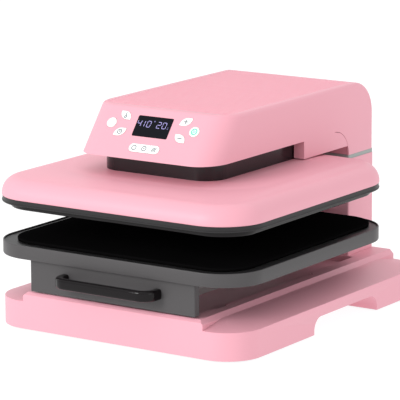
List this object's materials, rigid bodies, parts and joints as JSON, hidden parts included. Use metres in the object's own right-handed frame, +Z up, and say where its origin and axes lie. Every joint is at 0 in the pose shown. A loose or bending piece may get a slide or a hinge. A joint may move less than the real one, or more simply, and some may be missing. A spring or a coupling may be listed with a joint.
{
  "type": "heat press",
  "caption": "Desktop heat press: a column and arm hold a motor-driven heated upper platen above a padded lower platen on a slide-out drawer, with keys and a display on a sloping front.",
  "frame": {"origin": "middle of the footprint, on the surface that the feet stand on, closed and at rest", "axes": "+X to the operator's right, +Y from the operator to the column, +Z up; YZ is the plane of symmetry of the casing"},
  "size_m": [0.4218, 0.5326, 0.307],
  "materials": {
    "body_pink": "smooth satin shell, pale pink",
    "black_gloss": "glossy black",
    "black_matte": "satin black, heat resistant",
    "grey_metal": "dark grey powder coat, fine texture",
    "trim_grey": "satin mid grey",
    "silicone": "smooth black silicone sponge",
    "insulation": "woven glass fibre board",
    "aluminium": "milled aluminium",
    "zinc_steel": "zinc plated steel sheet",
    "steel": "ground steel",
    "brass": "turned brass",
    "bronze": "sintered bronze",
    "board_green": "green circuit board with black components",
    "display_glass": "black glossy window",
    "key_white": "off-white keys with grey symbols",
    "key_lit": "off-white key lit green from behind",
    "rubber_black": "black rubber",
    "motor_black": "black enamel"
  },
  "bodies": {
    "stand": {"base_shell": "body_pink", "base_plate": "grey_metal", "rubber_feet": "rubber_black", "base_screws": "steel", "base_frame": "zinc_steel", "uprights": "zinc_steel", "power_board": "board_green", "column_cover": "body_pink", "trim_band": "trim_grey", "upper_housing": "body_pink", "under_cover": "body_pink", "inner_shroud": "black_matte", "arm_frame": "zinc_steel", "gear_motor": "motor_black", "screw_bearing": "steel", "bush_housings": "aluminium", "guide_bushes": "bronze", "housing_screws": "steel", "display_window": "display_glass", "display_module": "black_matte", "control_board": "board_green", "mains_inlet": "black_matte", "outer_rails": "zinc_steel", "drawer_stops": "grey_metal"},
    "press_head": {"platen_cover": "body_pink", "platen_bezel": "black_matte", "heat_shield": "black_gloss", "heating_plate": "aluminium", "heating_element": "steel", "insulation_blanket": "insulation", "lift_plate": "zinc_steel", "standoffs": "steel", "thermostat": "zinc_steel", "temperature_sensor": "steel", "neck_shroud": "black_gloss", "nut_tower": "steel", "screw_nut": "brass", "guide_rods": "steel"},
    "lift_drive": {"lift_screw": "steel"},
    "drawer": {"drawer_carriage": "grey_metal", "drawer_panel": "grey_metal", "drawer_handle": "black_gloss", "handle_screws": "steel", "tray_frame": "grey_metal", "tray_insulation": "insulation", "lower_platen": "black_matte", "silicone_pad": "silicone", "inner_rails": "zinc_steel"},
    "rail_carriers": {"middle_rails": "zinc_steel"},
    "power_key": {"power_key": "key_white"},
    "temperature_key": {"temperature_key": "key_white"},
    "timer_key": {"timer_key": "key_white"},
    "plus_key": {"plus_key": "key_white"},
    "minus_key": {"minus_key": "key_white"},
    "start_key": {"start_key": "key_lit"},
    "preset_key_1": {"preset_key_1": "key_white"},
    "preset_key_2": {"preset_key_2": "key_white"},
    "preset_key_3": {"preset_key_3": "key_white"},
    "power_rocker": {"power_rocker": "black_gloss"}
  },
  "joints": [
    {"name": "press_lift", "type": "slide", "parent": "stand", "child": "press_head", "axis": [0, 0, 1], "range_m": [-0.042, 0]},
    {"name": "screw_turn", "type": "hinge", "parent": "stand", "child": "lift_drive", "pos_m": [0, -0.03075, 0.23], "axis": [0, 0, 1], "range_deg": [-800, 2]},
    {"name": "drawer_slide", "type": "slide", "parent": "stand", "child": "drawer", "axis": [0, -1, 0], "range_m": [0, 0.32]},
    {"name": "rail_slide", "type": "slide", "parent": "stand", "child": "rail_carriers", "axis": [0, -1, 0], "range_m": [-0.001, 0.161]},
    {"name": "power_key_press", "type": "slide", "parent": "stand", "child": "power_key", "axis": [0, 0.7868, -0.6172], "range_m": [0, 0.0006], "stiffness_N_per_m": 900, "springref_m": -0.0002},
    {"name": "temperature_key_press", "type": "slide", "parent": "stand", "child": "temperature_key", "axis": [0, 0.7868, -0.6172], "range_m": [0, 0.0006], "stiffness_N_per_m": 900, "springref_m": -0.0002},
    {"name": "timer_key_press", "type": "slide", "parent": "stand", "child": "timer_key", "axis": [0, 0.7868, -0.6172], "range_m": [0, 0.0006], "stiffness_N_per_m": 900, "springref_m": -0.0002},
    {"name": "plus_key_press", "type": "slide", "parent": "stand", "child": "plus_key", "axis": [0, 0.7868, -0.6172], "range_m": [0, 0.0006], "stiffness_N_per_m": 900, "springref_m": -0.0002},
    {"name": "minus_key_press", "type": "slide", "parent": "stand", "child": "minus_key", "axis": [0, 0.7868, -0.6172], "range_m": [0, 0.0006], "stiffness_N_per_m": 900, "springref_m": -0.0002},
    {"name": "start_key_press", "type": "slide", "parent": "stand", "child": "start_key", "axis": [0, 0.7868, -0.6172], "range_m": [0, 0.0006], "stiffness_N_per_m": 900, "springref_m": -0.0002},
    {"name": "preset_key_1_press", "type": "slide", "parent": "stand", "child": "preset_key_1", "axis": [0, 0.7868, -0.6172], "range_m": [0, 0.0006], "stiffness_N_per_m": 900, "springref_m": -0.0002},
    {"name": "preset_key_2_press", "type": "slide", "parent": "stand", "child": "preset_key_2", "axis": [0, 0.7868, -0.6172], "range_m": [0, 0.0006], "stiffness_N_per_m": 900, "springref_m": -0.0002},
    {"name": "preset_key_3_press", "type": "slide", "parent": "stand", "child": "preset_key_3", "axis": [0, 0.7868, -0.6172], "range_m": [0, 0.0006], "stiffness_N_per_m": 900, "springref_m": -0.0002},
    {"name": "power_rocker_tilt", "type": "hinge", "parent": "stand", "child": "power_rocker", "pos_m": [0.077, 0.25525, 0.095], "axis": [1, 0, 0], "range_deg": [0, 22]}
  ],
  "couplings": [
    {"joint": "screw_turn", "follows": "press_lift", "rad_per_m": 314.16},
    {"joint": "rail_slide", "follows": "drawer_slide", "ratio": 0.5}
  ]
}
